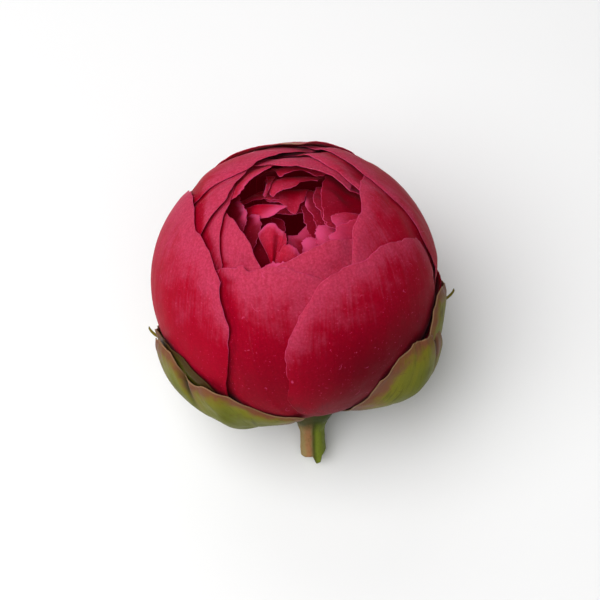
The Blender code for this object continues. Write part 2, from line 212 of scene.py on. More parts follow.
# Sepals whose right side lies in the shade of the sepal over them: how dark it is.
SEPAL_SHADES = {"sepal_left_inner": 0.75}

NO_LILAC = (0, 0, 0.9, 9)
FLAT = (0, 0, 0, 0, 0)
# Each inner petal, the outermost first: the azimuth of its midrib about the mouth's axis; the
# angle of its tip edge from that axis, from the left corner to the right one; half-widths left and
# right at the tip and lower down; how far the tip edge stands out from left to right, in
# millimetres; how lilac it is, at which place across it, how far to both sides and how far down, in
# degrees; and how dark, which is painted shade for its place deep in the mouth.
InnerPetal = namedtuple("InnerPetal", "azimuth top tips lows bends lilac dark")
INNER_PETALS = {name: InnerPetal(*row) for name, row in {
    "inner_1_1": (-14, (24, 21.5, 21, 21.5, 24), (7, 7), (16, 16), (0, 0.2, 0.2, 0.2, 0),
        (0.9, 0, 0.9, 6), 0),
    "inner_1_2": (57, (25, 20, 20, 22, 27), (5, 12), (9, 24), (-0.6, 0.2, 0.3, 0, 0),
        (0.7, -0.5, 0.9, 16), 0),
    "inner_1_5": (-152, (30, 33.5, 36, 39, 46), (16, 10), (20, 14), (0, 0.2, 0.2, 0, 0),
        (0.4, -0.5, 0.9, 5), 0),
    "inner_1_6": (-140, (25, 23.2, 22, 22.2, 21.8, 21.1, 21.5, 23.8, 24.5), (19, 9), (24, 20),
        (1.2, 1.7, 1.9, 1.9, 1.7), (0.5, 0.2, 0.9, 3), 0),
    "inner_1_3": (120, (38, 35.5, 34.5, 35, 40), (6, 5), (14, 14), FLAT, (0.7, 0, 0.9, 10), 0),
    "inner_1_4": (176, (27, 24.5, 27.8, 26.5, 24, 24.3, 33, 43, 55), (18, 9), (24, 16),
        (0, 0.3, 0.3, 0, 0), NO_LILAC, 0.3),
    "inner_1_7": (-45, (34, 29, 28, 29, 34), (14, 14), (22, 22), FLAT, NO_LILAC, 0.3),
    "inner_2_1": (81, (24, 20.5, 18.5, 20, 25), (5, 5), (12, 12), (-0.3, 0.2, 0.3, 0, 0),
        (0.6, -0.5, 0.9, 12), 0),
    "inner_2_2": (100, (16, 15, 16, 20.5, 29), (9, 24), (26, 34), (0, 0, 0.3, 0.3, 0), NO_LILAC,
        0.62),
    "inner_2_6": (-8, (19, 14.5, 12.8, 13.2, 17), (4.3, 6.2), (6, 9), (-0.6, 0.3, 0.4, 0.3, -0.6),
        (0.8, 0.7, 0.45, 4), 0),
    "inner_2_4": (-172, (18.5, 17, 16.5, 17, 18.5), (0.9, 0.9), (3, 3), FLAT, NO_LILAC, 0.2),
    "inner_2_5": (-105, (34, 28.5, 24.3, 20.4, 18, 18, 18.5, 20, 22), (23, 10), (30, 22),
        (0.3, 0.8, 0.8, 0.4, 0), (0.9, -0.3, 0.5, 5), 0.85),
    "inner_2_3": (176, (31, 30.3, 26.5, 20.3, 19, 17.8, 16.9, 15.9, 17.5), (16, 7.3), (22, 12),
        (0, 0.3, 0.8, 0.8, 0), NO_LILAC, 0),
    "inner_3_1": (-25, (9, 3.6, 2.4, 3.4, 5.2, 6, 6.9, 8.6, 12), (11.5, 3.7), (5, 4),
        (-0.3, 0.6, -0.2, -0.8, 0), (0.9, -0.6, 0.8, 3.5), 0),
    "inner_3_2": (60, (17, 15, 14, 14.3, 20), (4, 8), (10, 14), (-0.6, 0.2, 0.4, 0.2, 0),
        (1, 0, 0.9, 12), 0),
    "inner_3_5": (-75, (14, 10, 10.4, 11.6, 14.5, 17, 19, 21, 23), (14, 8), (16, 22),
        (0, 0.8, 0.3, 0, 0), (1, -0.75, 0.35, 4.5), 0.85),
    "inner_3_4": (-115, (3.2, 5.2, 6.2, 8, 14.5, 17, 19, 21, 23), (10, 6), (8, 10),
        (0.7, 0.5, 0.3, 0, 0), (1, -0.55, 0.65, 9), 0),
    "inner_3_3": (108, (17, 17.5, 18, 19.5, 29), (14, 22), (24, 30), (0, 0, 0.3, 0.3, 0), NO_LILAC,
        0.5),
    "inner_4_1": (35, (16.5, 13.5, 11.2, 11.6, 15), (5, 6), (9, 9), (-0.4, 0.4, 0.6, 0.3, 0),
        (1, 0, 0.9, 12), 0),
    "inner_4_4": (-155, (19, 19.5, 20, 21, 27, 34, 36, 38, 41), (8, 10), (14, 14),
        (0, 0.3, 0.3, 0, 0), NO_LILAC, 0.1),
    "inner_4_3": (180, (18.6, 16, 9, 8, 13.5, 17.3, 19.2, 21, 22.5), (11, 9), (18, 18),
        (0, 0.3, 0.8, 0.3, 0), NO_LILAC, 0),
    "inner_4_2": (118, (12, 13, 13.8, 14.8, 15.7, 15.6, 22.4, 26, 31.5), (14, 28), (20, 32),
        (0, 0, 0, 0, 0.2, 0.9, 0.3, 0.2, 0), (1, 0.27, 0.1, 3.5), 0.6),
    "inner_4_5": (-50, (16, 10, 8, 9, 14), (12, 12), (18, 18), FLAT, NO_LILAC, 0.8),
    "inner_5_2": (105, (9.5, 9.3, 9.8, 12.3, 13), (12, 14), (16, 22), FLAT, NO_LILAC, 0.8),
    "inner_5_1": (50, (8, 4.7, 3.6, 1.5, 5, 6.1, 6.2, 8, 10.5), (11, 12), (14, 16),
        (0, 0.2, 0, 0.2, 0), (0.5, 0, 0.9, 9), 0.5),
    "inner_5_3": (170, (20, 15, 13, 15, 20), (14, 18), (22, 22), FLAT, NO_LILAC, 0.45),
    "inner_5_4": (-110, (6, 3, 2, 3, 6), (9, 9), (16, 16), FLAT, NO_LILAC, 0.9),
}.items()}
# Inner petals whose tips are carried sideways: by how many degrees at the tip, over how many
# degrees down that fades, and by how many degrees all over.
INNER_SWEEPS = {"inner_2_4": (7.3, 11.5, -1.5)}
# Folds down an inner petal: place across at its tip and lower down, half-width and depth.
INNER_FOLDS = {"inner_3_1": (-0.11, -0.07, 0.13, 1.6)}
# Inner petals whose left side tapers: from which angle on, and over how many degrees.
INNER_TAPERS = {"inner_3_1": (8, 15)}


# ---- curves ----
def smooth(x):
    """Smooth step from 0 to 1."""
    x = np.clip(x, 0, 1)
    return x * x * (3 - 2 * x)


def bell(x, width):
    """1 at 0, falling to both sides as a Gaussian of this width."""
    return np.exp(-(x / width) ** 2)


def curve(values, t):
    """Smooth curve through evenly spaced values, t from 0 to 1 (Catmull-Rom)."""
    v = np.asarray(values, float)
    v = np.concatenate([[2 * v[0] - v[1]], v, [2 * v[-1] - v[-2]]])
    s = np.clip(t, 0, 1) * (len(v) - 3)
    i = np.minimum(s.astype(int), len(v) - 4)
    f = s - i
    a, b, c, d = v[i], v[i + 1], v[i + 2], v[i + 3]
    return b + 0.5 * f * (c - a + f * (2 * a - 5 * b + 4 * c - d + f * (3 * (b - c) + d - a)))


def wave(t, seed, slowest, fastest):
    """Smooth irregular curve of t between about -1 and 1: a sum of sines with seeded phases,
    whose frequencies run from the slowest to the fastest, in turns per unit of t."""
    rng = np.random.default_rng(seed)
    turns = np.geomspace(slowest, fastest, 6) * rng.uniform(0.85, 1.15, 6)
    phase = rng.uniform(0, 2 * math.pi, 6)
    height = turns ** -0.5
    height /= height.sum() * 0.6
    return sum(h * np.sin(2 * math.pi * k * t + p) for h, k, p in zip(height, turns, phase))


def relief(points, seed, size):
    """Smooth irregular field over points in millimetres, between about -1 and 1: a sum of plane
    waves in seeded directions, each about `size` millimetres long."""
    rng = np.random.default_rng(seed)
    total = np.zeros(points.shape[:-1])
    for _ in range(9):
        way = rng.normal(size=3)
        way *= 2 * math.pi / (size * rng.uniform(0.7, 1.5)) / np.linalg.norm(way)
        total += np.sin(points @ way + rng.uniform(0, 2 * math.pi))
    return total / 3


def seed_of(name, table, first):
    """Seed of a piece's first irregular curve: ten apart, in the order of its table."""
    return first + 10 * list(table).index(name)


# ---- directions from the centre of the ball ----
def midrib_frame(azimuth):
    """Outward and sideways unit vectors of a petal whose midrib runs up at this azimuth."""
    a = math.radians(azimuth)
    outward = np.array([math.sin(a), -math.cos(a), 0.0])
    sideways = np.array([math.cos(a), math.sin(a), 0.0])
    return outward, sideways


def direction(azimuth, along, across):
    """Unit vectors at the angle `along` from the top, down the midrib, and `across` beside it."""
    outward, sideways = midrib_frame(azimuth)
    q, s = np.radians(along)[..., None], np.radians(across)[..., None]
    up = np.array([0.0, 0.0, 1.0])
    return np.cos(s) * (np.sin(q) * outward + np.cos(q) * up) + np.sin(s) * sideways


def angles(azimuth, d):
    """The angles along and across the midrib of unit vectors: the inverse of direction()."""
    outward, sideways = midrib_frame(azimuth)
    across = np.degrees(np.arcsin(np.clip(d @ sideways, -1, 1)))
    along = np.degrees(np.arctan2(d @ outward, d[..., 2]))
    return np.where(along < -120, along + 360, along), across


def tilt_to_mouth(d, along):
    """Turns directions forward about X, fully near the mouth and not at all at the feet."""
    turn = np.radians(MOUTH_TILT) * smooth((FOOT - along) / (FOOT - MOUTH_DEPTH))
    x, y, z = np.moveaxis(d, -1, 0)
    return np.stack([x, y * np.cos(turn) - z * np.sin(turn),
                     y * np.sin(turn) + z * np.cos(turn)], -1)


class Outline:
    """A petal's edge on the ball. u runs across it from -1 to 1, v from the foot to the tip."""

    def __init__(self, azimuth, top, left, right, foot=FOOT):
        self.azimuth, self.top, self.left, self.right, self.foot = azimuth, top, left, right, foot

    def tip(self, u):
        """Angle of the tip edge down the midrib."""
        return curve(self.top, (u + 1) / 2)

    def width(self, u, v):
        """Half-width in degrees, on the side where u lies."""
        return np.where(u < 0, curve(self.left, v), curve(self.right, v))

    def inwards(self, u, v):
        """Degrees from a point out to the side edge, and up to the tip edge."""
        return (1 - np.abs(u)) * self.width(u, v), (1 - v) * (self.foot - self.tip(u))

    def edge_distance(self, u, v, radius):
        """Distance to the nearest free edge on a ball of this radius: the product of the two ways
        to an edge over the root of the sum of their squares, which is near the shorter one."""
        side, top = self.inwards(u, v)
        near = side * top / np.hypot(side, top).clip(1e-6)
        return near * math.radians(1) * radius

    def outside(self, d):
        """Degrees by which unit vectors lie outside the edge, negative inside it. The tip's angle
        depends on u and the half-width on v, so both are worked out in four rounds."""
        along, across = angles(self.azimuth, d)
        u = np.zeros_like(along)
        for _ in range(4):
            v = (self.foot - along) / (self.foot - self.tip(np.clip(u, -1, 1)))
            half = self.width(across, v)
            u = across / half
        side = np.abs(across) - half
        over = (v - 1) * (self.foot - self.tip(np.clip(u, -1, 1)))
        return np.maximum(np.maximum(side, over), along - self.foot)


GUARDS = {name: Outline(*row[:4]) for name, row in GUARD_PETALS.items()}
CALYX = {name: Outline(*row[:4], SEPAL_FOOT) for name, row in SEPALS.items()}


# ---- how far out each layer lies ----
def ball(d):
    """Outside radius of the whole ball of petals: an ellipsoid, very slightly uneven."""
    level = np.hypot(d[..., 0], d[..., 1])
    radius = 1 / np.sqrt((level / BALL_RADIUS) ** 2 + (d[..., 2] / BALL_HALF_HEIGHT) ** 2)
    return radius + UNEVEN * relief(d * BALL_RADIUS, BALL_SEED, UNEVEN_SIZE)


def guard_depths(d):
    """For each guard petal, how far unit vectors lie outside its edge and how deep it lies below
    the ball: every petal listed after it lies over it, and it closes up to the ball again beyond
    their edges."""
    depth = np.zeros(d.shape[:-1])
    for name in reversed(GUARDS):
        outside = GUARDS[name].outside(d)
        yield name, outside, depth
        depth = depth + LAYER * GUARD_PETALS[name].strength * smooth(1 - outside / FADE)


def guard_radius(name, d):
    """Outside radius of a guard petal."""
    for over, _, depth in guard_depths(d):
        if over == name:
            return ball(d) - depth


def painted_edge_shadow(name, d):
    """How much painted shadow a guard petal gets beside the edges of the petals over it, from 0 to
    1,
    which keeps it deep crimson there: the most that any of them gives, fading with the distance
    from its edge."""
    edge_shadow = np.zeros(d.shape[:-1])
    for over, outside, _ in guard_depths(d):
        if over == name:
            return edge_shadow
        shadow, reach = GUARD_CAST_SHADOWS.get(over, (0, 1))
        edge_shadow = np.maximum(edge_shadow, shadow * smooth(1 - outside / reach))


def ceiling(d):
    """The highest that an inner petal may lie: smoothly under the lowest guard petal, rising by a
    little for each degree away from a guard petal's edge, and never up to the ball."""
    under = [depth + PETAL - INNER_RISE * np.maximum(outside, 0)
             for _, outside, depth in guard_depths(d)]
    under.append(np.full(d.shape[:-1], MOUTH_DROP))
    lowest = np.log(sum(np.exp(SOFTNESS * u) for u in under)) / SOFTNESS
    return ball(d) - lowest - INNER_CLEARANCE


def sepal_radius(name, d, u, v):
    """Inside radius of a sepal: over the petals and the sepals before it, standing off as a cup."""
    names = list(CALYX)
    cup = curve(SEPALS[name].stand, 1 - v) * smooth(1 - SEPALS[name].close_side * u)
    under = sum(smooth(1 - (CALYX[n].outside(d) - 1) / SEPAL_FADE)
                for n in names[:names.index(name)])
    return ball(d) + GAP + cup + SEPAL_LAYER * under


def inner_outline(name):
    """An inner petal's edge: narrow at the foot, at its lower width from the middle up, and at its
    tip's width at the tip."""
    row = INNER_PETALS[name]
    sides = [(3, 0.6 * low, low, low, tip) for tip, low in zip(row.tips, row.lows)]
    return Outline(row.azimuth, row.top, *sides)


def inner_surface(name, u, v, wander):
    """Directions and outside radii of an inner petal. In the frame that leans to the mouth, its
    point at (u, v) lies at the angle foot + (tip(u) - foot) v down the midrib and width(u, v) u
    beside it. A swept tip is carried aside by an exponential of the distance below the tip, and a
    tapering left side loses width downwards. The petal lies under the ceiling by one step for each
    petal listed before it, with closer steps at the foot. Its tip edge stands out by its own curve
    of bends, and a fold runs down it as a groove."""
    outline = inner_outline(name)
    tip = outline.tip(u) + wander
    along = outline.foot + (tip - outline.foot) * v
    across = outline.width(u, v) * u
    if name in INNER_SWEEPS:
        carried, reach, start = INNER_SWEEPS[name]
        across = across + start + carried * np.exp((tip - along) / reach)
    if name in INNER_TAPERS:
        start, reach = INNER_TAPERS[name]
        across = np.where(u < 0, across * (1 - TAPER * smooth((along - start) / reach)), across)
    d = tilt_to_mouth(direction(outline.azimuth, along, across), along)
    opened = smooth((FOOT - along) / INNER_OPENS)
    depth = INNER_STEP * list(INNER_PETALS).index(name) * (INNER_FOOT + (1 - INNER_FOOT) * opened)
    bends = curve(INNER_PETALS[name].bends, (u + 1) / 2)
    bends = bends * smooth(1 - (1 - v) * (outline.foot - tip) / BEND_REACH)
    if name in INNER_FOLDS:
        at_tip, lower, width, fold = INNER_FOLDS[name]
        place_across = lower + (at_tip - lower) * smooth(1 - (along - tip) / BEND_REACH)
        bends = bends - fold * bell(u - place_across, width) * smooth((along - tip) / FOLD_OPENS)
    return d, ceiling(d) - depth + bends


def thinned(full, edge, share, reach):
    """Thickness that grows from a share of the full one at the edge to the full one at `reach`."""
    return full * (share + (1 - share) * smooth(edge / reach))


# ---- meshes ----
def petal_grid(across, crowd_across, up, crowd_up):
    """Grids of u and v. u runs from -1 to 1 and crowds to both sides as t (1 + c - c t^2), and v
    runs from 0 to 1 and crowds to the tip as t (1 + c (1 - t))."""
    t = np.linspace(-1, 1, across + 1)
    u = t * (1 + crowd_across - crowd_across * t * t)
    t = np.linspace(0, 1, up + 1)
    v = t * (1 + crowd_up * (1 - t))
    return np.meshgrid(u, v)


def add_object(name, data):
    """Object at the origin with this mesh, lamp or camera, in the scene."""
    thing = bpy.data.objects.new(name, data)
    bpy.context.scene.collection.objects.link(thing)
    return thing


def add_piece(name, points, faces, facts):
    """Smooth piece from points in the bud's frame. Each of the facts is a value for every point
    and becomes a point attribute."""
    name = "peony_" + name
    mesh = bpy.data.meshes.new(name)
    mesh.from_pydata(place(points), [], faces)
    for fact, values in facts.items():
        layer = mesh.attributes.new(fact, "FLOAT", "POINT")
        layer.data.foreach_set("value", values)
    mesh.shade_smooth()
    return add_object(name, mesh)


def shell(name, d, outer, inner, facts):
    """Closed sheet between an outer and an inner radius in the directions d, whose rows run up the
    petal and whose columns run to its right as its outside is looked at. The grids' columns and
    rows are its UV map, and each of the facts is a grid of values."""
    rows, cols = outer.shape
    index = np.arange(rows * cols).reshape(rows, cols)
    quads = np.stack([index[:-1, :-1], index[:-1, 1:], index[1:, 1:], index[1:, :-1]], -1)
    quads = quads.reshape(-1, 4)
    rim = np.concatenate([index[0, :-1], index[:-1, -1], index[-1, :0:-1], index[:0:-1, 0]])
    ahead = np.roll(rim, -1)
    skin = rows * cols
    sides = np.stack([ahead, rim, rim + skin, ahead + skin], -1)
    faces = np.concatenate([quads, quads[:, ::-1] + skin, sides])
    points = np.concatenate([(d * radius[..., None]).reshape(-1, 3) for radius in (outer, inner)])
    facts = {fact: np.tile(values.ravel(), 2) for fact, values in facts.items()}
    piece = add_piece(name, points, faces, facts)
    u, v = np.meshgrid(np.linspace(0, 1, cols), np.linspace(0, 1, rows))
    uv = np.tile(np.stack([u, v], -1).reshape(-1, 2), (2, 1))
    layer = piece.data.uv_layers.new(name="petal")
    layer.data.foreach_set("uv", uv[faces.ravel()].ravel())
    return piece


def finish_piece(piece, material, slot, *nodes):
    """Gives a piece its material and body, and hides the CAD nodes that it stands for. The slot is
    not used.
    """
    piece.data.materials.append(material)
    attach(piece, "root")
    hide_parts(*nodes)


# ---- settings ----
def number_setting(name, description, default, low, high):
    """Number that a user can change."""
    return bpy.props.FloatProperty(name=name, description=description, default=default, min=low,
                                   max=high)


def color_setting(name, description, default):
    """Colour that a user can change."""
    return bpy.props.FloatVectorProperty(name=name, description=description, default=default,
                                         subtype="COLOR", size=3, min=0, max=1)


class PeonyPetalSettings(bpy.types.PropertyGroup):
    thickness: number_setting("Thickness", "Thickness of a petal, in millimetres", PETAL, 0.1, 1.0)
    edge_wander: number_setting(
        "Edge wander", "How far the free edges wander, in degrees round the ball", 0.68, 0, 2)
    furrow: number_setting(
        "Furrows", "Depth of the lengthwise furrows, in millimetres", 0.05, 0, 0.3)
    deep: color_setting(
        "Deep colour", "Colour towards the foot of a petal", (0.37, 0.0006, 0.016))
    # The rose towards the tips is partly the petals' own colour and partly painted sheen from
    # above.
    rose: color_setting("Rose colour", "Colour towards the tip of a petal", (0.5, 0.04, 0.095))
    lilac: color_setting(
        "Lilac colour", "Colour of the thin pale edges and of the paler tips", (0.6, 0.06, 0.17))
    faded: color_setting(
        "Faded colour", "Tan of the faded tip at the back", (0.3, 0.17, 0.11))


class PeonyGreenSettings(bpy.types.PropertyGroup):
    thickness: number_setting(
        "Thickness", "Thickness of a sepal, in millimetres", 0.75, 0.2, 1.5)
    bract_curl: number_setting(
        "Bract curl", "How far a bract's tip curls out, in millimetres", 4.0, 0, 6)
    groove: number_setting(
        "Stem groove", "Depth of the stem's groove, as a share of its radius", 0.2, 0, 0.5)
    groove_place: number_setting(
        "Groove place", "Azimuth of the stem's groove, in degrees", 4.0, -180, 180)
    green: color_setting("Green", "Colour of sepals and stem", (0.134, 0.144, 0.009))
    flush: color_setting("Flush", "Purple-brown flush along a sepal's edge", (0.17, 0.055, 0.03))
    pale: color_setting("Pale", "Pale green-tan at a sepal's margin", (0.38, 0.27, 0.14))
    stem: color_setting("Stem green", "Green half of the stem", (0.16, 0.2, 0.02))
    tan: color_setting("Stem tan", "Tan half of the stem", (0.3, 0.21, 0.08))
    stripe: color_setting("Stem stripe", "Pinkish stripe on the stem", (0.33, 0.13, 0.06))
    cut: color_setting("Cut", "Pith at the stem's cut", (0.3, 0.32, 0.14))


class PeonyStageSettings(bpy.types.PropertyGroup):
    floor: color_setting("Floor", "Colour of the floor", (0.82, 0.82, 0.82))
    distance: bpy.props.FloatProperty(
        name="Camera distance", description="From the centre of the ball", default=0.381,
        subtype="DISTANCE", unit="LENGTH")
    elevation: bpy.props.FloatProperty(
        name="Camera elevation", description="Above the horizon", subtype="ANGLE",
        default=math.radians(22.0) + LEAN)
    roll: bpy.props.FloatProperty(
        name="Camera roll", description="Clockwise turn of the camera", subtype="ANGLE",
        default=math.radians(8.0))


# ---- materials ----
class Nodes:
    """Adds nodes to one node tree. Each method but put() and surface() gives back an output."""

    def __init__(self, tree):
        self.tree = tree

    def put(self, value, socket):
        """Links a socket to an output, or sets it to a number, a vector or a colour."""
        if isinstance(value, bpy.types.NodeSocket):
            self.tree.links.new(value, socket)
        elif value is not None:
            socket.default_value = (*value, 1) if socket.type == "RGBA" else value

    def add(self, kind, inputs, output=0, **settings):
        """One node of this kind, its settings and its inputs, by name or place."""
        node = self.tree.nodes.new("ShaderNode" + kind)
        for name, value in settings.items():
            setattr(node, name, value)
        for name, value in inputs.items():
            self.put(value, node.inputs[name])
        return node.outputs[output]

    def maths(self, operation, a, b=None, clamp=False):
        return self.add("Math", {0: a, 1: b}, operation=operation, use_clamp=clamp)

    def total(self, a, b):
        return self.maths("ADD", a, b)

    def less(self, a, b):
        return self.maths("SUBTRACT", a, b)

    def times(self, a, b):
        return self.maths("MULTIPLY", a, b)

    def most(self, a, b, clamp=False):
        return self.maths("MAXIMUM", a, b, clamp)

    def shares(self, a, share_a, b, share_b):
        """a times its share plus b times its share."""
        return self.total(self.times(a, share_a), self.times(b, share_b))

    def mix(self, share, a, b):
        """Colour a at share 0, and colour b at share 1."""
        return self.add("Mix", {0: share, 6: a, 7: b}, 2, data_type="RGBA")

    def ramp(self, value, low, high, to_low=0.0, to_high=1.0, way="SMOOTHSTEP"):
        """to_low where the value is low, to_high where it is high, and a smooth step between."""
        inputs = {"Value": value, "From Min": low, "From Max": high, "To Min": to_low,
                  "To Max": to_high}
        return self.add("MapRange", inputs, "Result", interpolation_type=way)

    def fact(self, name):
        """A point attribute of the piece."""
        return self.add("Attribute", {}, "Fac", attribute_name=name)

    def noise(self, vector, scale, detail, roughness=0.6):
        inputs = {"Vector": vector, "Scale": scale, "Detail": detail, "Roughness": roughness}
        return self.add("TexNoise", inputs, "Fac")

    def bump(self, height, strength, distance):
        inputs = {"Height": height, "Strength": strength, "Distance": distance}
        return self.add("Bump", inputs, "Normal")

    def surface(self, inputs):
        """Feeds the material's Principled shader."""
        shader = self.tree.nodes["Principled BSDF"]
        for name, value in inputs.items():
            self.put(value, shader.inputs[name])


def new_material(name):
    """New material and the nodes in it."""
    material = bpy.data.materials.new(name)
    material.use_nodes = True
    return material, Nodes(material.node_tree)


def tone(color, share):
    """A colour times one share, or times one share each of red, green and blue."""
    return np.multiply(color, share).tolist()


def fibres_group():
    """Fine fibres that run up a petal and soft blotches: noise stretched along the UV map's V for
    the fibres, and noise on Object coordinates for the blotches and the velvety grain. Scratches
    are short pieces of a noise's contour line, let through where a second noise is high."""
    group = bpy.data.node_groups.new("Petal fibres", "ShaderNodeTree")
    for label, default in (("Across", 60.0), ("Along", 2.5)):
        socket = group.interface.new_socket(name=label, in_out="INPUT",
                                            socket_type="NodeSocketFloat")
        socket.default_value = default
    for label in ("Fibre", "Blotch", "Grain", "Scratch"):
        group.interface.new_socket(name=label, in_out="OUTPUT", socket_type="NodeSocketFloat")
    given = group.nodes.new("NodeGroupInput").outputs
    results = group.nodes.new("NodeGroupOutput").inputs
    nodes = Nodes(group)
    uv = nodes.add("UVMap", {}, uv_map="petal")
    split = nodes.add("SeparateXYZ", {0: uv}).node.outputs
    across = nodes.times(split["X"], given["Across"])
    along = nodes.times(split["Y"], given["Along"])
    stretched = nodes.add("CombineXYZ", {"X": across, "Y": along})
    where = nodes.add("TexCoord", {}, "Object")
    contour = nodes.less(nodes.noise(where, 150.0, 2.0, 0.4), 0.5)
    line = nodes.ramp(nodes.maths("ABSOLUTE", contour), 0.0, 0.010, 1.0, 0.0)
    patch = nodes.ramp(nodes.noise(where, 300.0, 2.0), 0.59, 0.65)
    nodes.put(nodes.noise(stretched, 1.0, 3.0), results["Fibre"])
    nodes.put(nodes.noise(where, 170.0, 3.0), results["Blotch"])
    nodes.put(nodes.noise(where, 1700.0, 2.0), results["Grain"])
    nodes.put(nodes.times(line, patch), results["Scratch"])
    return group


def petal_fibres(nodes, across):
    """Fibre, blotch, grain and scratch of the one fibres group, placed in a material."""
    group = bpy.data.node_groups.get("Petal fibres") or fibres_group()
    placed = nodes.tree.nodes.new("ShaderNodeGroup")
    placed.node_tree = group
    nodes.put(across, placed.inputs["Across"])
    nodes.put(3.0, placed.inputs["Along"])
    return [placed.outputs[label] for label in ("Fibre", "Blotch", "Grain", "Scratch")]


def petal_material(name, settings, rose_from, rose_to, edge_share, scratches, glow):
    """Velvety crimson that lets light through. The colour goes from deep at the foot to rose
    between two heights, broken up by blotches, fibres and a fine velvet grain; the rose is partly
    the petal's own colour and partly painted sheen of the light from above. On it lie a lilac
    bloom, a broken pale line along the thin edge with its share, a faded tip, pale specks and
    scratches. Painted shade darkens the foot, low on the bud and deep in its mouth, and the dark
    fact adds the painted shade and painted shadow that the petal has. A faint dark red glow stands
    for the daylight that reaches the closed heart of the bud through its many petals."""
    material, nodes = new_material(name)
    fibre, blotch, grain, scratch = petal_fibres(nodes, 90.0)
    half_deep = tone(settings.deep, 0.5)
    uneven = nodes.shares(blotch, 0.55, fibre, 0.45)
    level = nodes.total(nodes.fact("height"), nodes.less(uneven, 0.5))
    # Rose that is partly the petal's own colour and partly painted sheen from the light above.
    rosy = nodes.ramp(level, rose_from, rose_to)
    color = nodes.mix(rosy, settings.deep, settings.rose)
    streak = nodes.ramp(fibre, 0.35, 0.65, 0.0, 0.16)
    color = nodes.mix(streak, color, half_deep)
    velvet = nodes.ramp(grain, 0.35, 0.65, 0.3, 0.0)
    color = nodes.mix(velvet, color, half_deep)
    # Painted shade: much darker towards the foot, and where the dark fact puts painted shade or
    # shadow.
    foot = nodes.ramp(level, 0.12, 0.64, 0.7, 0.0)
    dark = nodes.ramp(nodes.fact("dark"), 0.0, 1.0, 0.0, 0.85, "LINEAR")
    color = nodes.mix(nodes.most(foot, dark), color, tone(settings.deep, 0.16))
    ragged = nodes.total(nodes.fact("edge"), nodes.times(fibre, 0.3))
    pale = nodes.ramp(ragged, 0.15, 0.42, edge_share, 0.0)
    pale = nodes.times(pale, nodes.ramp(blotch, 0.38, 0.6, 0.35, 1.0))
    pale = nodes.most(pale, nodes.fact("lilac"), clamp=True)
    color = nodes.mix(pale, color, settings.lilac)
    specks = nodes.ramp(grain, 0.66, 0.74, 0.0, 0.5)
    specks = nodes.most(specks, nodes.times(scratch, scratches))
    color = nodes.mix(specks, color, settings.lilac)
    nodes.surface({
        "Base Color": nodes.mix(nodes.fact("faded"), color, settings.faded),
        "Roughness": nodes.ramp(blotch, 0.3, 0.7, 0.5, 0.64),
        "Specular IOR Level": 0.025,
        "Subsurface Weight": 0.4,
        "Subsurface Radius": (1.0, 0.08, 0.2),
        "Subsurface Scale": 0.0015,
        "Emission Color": settings.deep,
        "Emission Strength": glow,
        "Sheen Weight": 0.045,
        "Sheen Roughness": 0.3,
        "Sheen Tint": (1.0, 0.75, 0.8),
        "Normal": nodes.bump(nodes.shares(fibre, 0.7, grain, 0.3), 0.25, 0.0002),
    })
    return material


def sepal_material(name, settings, flush_width, edging):
    """Leathery green with a purple-brown flush that follows the edge unevenly, a thin pale margin,
    darker veins up the sepal, scratches and soft blotches. Painted shade darkens the foot under the
    ball, a sepal's side in the shade of the sepal over it, and the fold; on a bract the same shade
    fact is its own darker tone."""
    material, nodes = new_material(name)
    fibre, blotch, grain, scratch = petal_fibres(nodes, 34.0)
    edge, shade_and_tone = nodes.fact("edge"), nodes.fact("shade_and_tone")
    uneven = nodes.shares(blotch, 9.0, fibre, 3.0)
    reach = nodes.total(edge, nodes.less(uneven, 6.6))
    yellow = nodes.ramp(reach, 0.5, flush_width * 2.2, 0.75, 0.0)
    color = nodes.mix(yellow, settings.green, tone(settings.green, (1.6, 1.25, 0.7)))
    veins = nodes.ramp(fibre, 0.54, 0.7, 0.0, 0.55)
    veins = nodes.most(veins, nodes.times(scratch, 0.75))
    color = nodes.mix(veins, color, tone(settings.green, 0.3))
    spots = nodes.ramp(blotch, 0.62, 0.74, 0.0, 0.5)
    color = nodes.mix(spots, color, tone(settings.flush, 0.6))
    flush = nodes.ramp(reach, 0.0, flush_width, 0.95 * edging, 0.0)
    color = nodes.mix(flush, color, settings.flush)
    ragged = nodes.total(edge, nodes.times(fibre, 0.5))
    margin = nodes.ramp(ragged, 0.2, 0.6, 0.4 * edging, 0.0)
    margin = nodes.times(margin, nodes.less(1.0, shade_and_tone))
    color = nodes.mix(margin, color, settings.pale)
    # Painted shade at the foot, in the shade of the sepal over it and in the fold; a bract's is its
    # own tone.
    foot = nodes.ramp(nodes.fact("height"), 0.12, 0.4, 0.85, 0.0)
    dark = nodes.most(nodes.most(foot, shade_and_tone), nodes.fact("fold"), clamp=True)
    nodes.surface({
        "Base Color": nodes.mix(dark, color, tone(settings.green, 0.12)),
        "Roughness": nodes.ramp(blotch, 0.3, 0.7, 0.42, 0.58),
        "Specular IOR Level": 0.08,
        "Normal": nodes.bump(nodes.shares(fibre, 0.8, grain, 0.25), 0.5, 0.0003),
    })
    return material


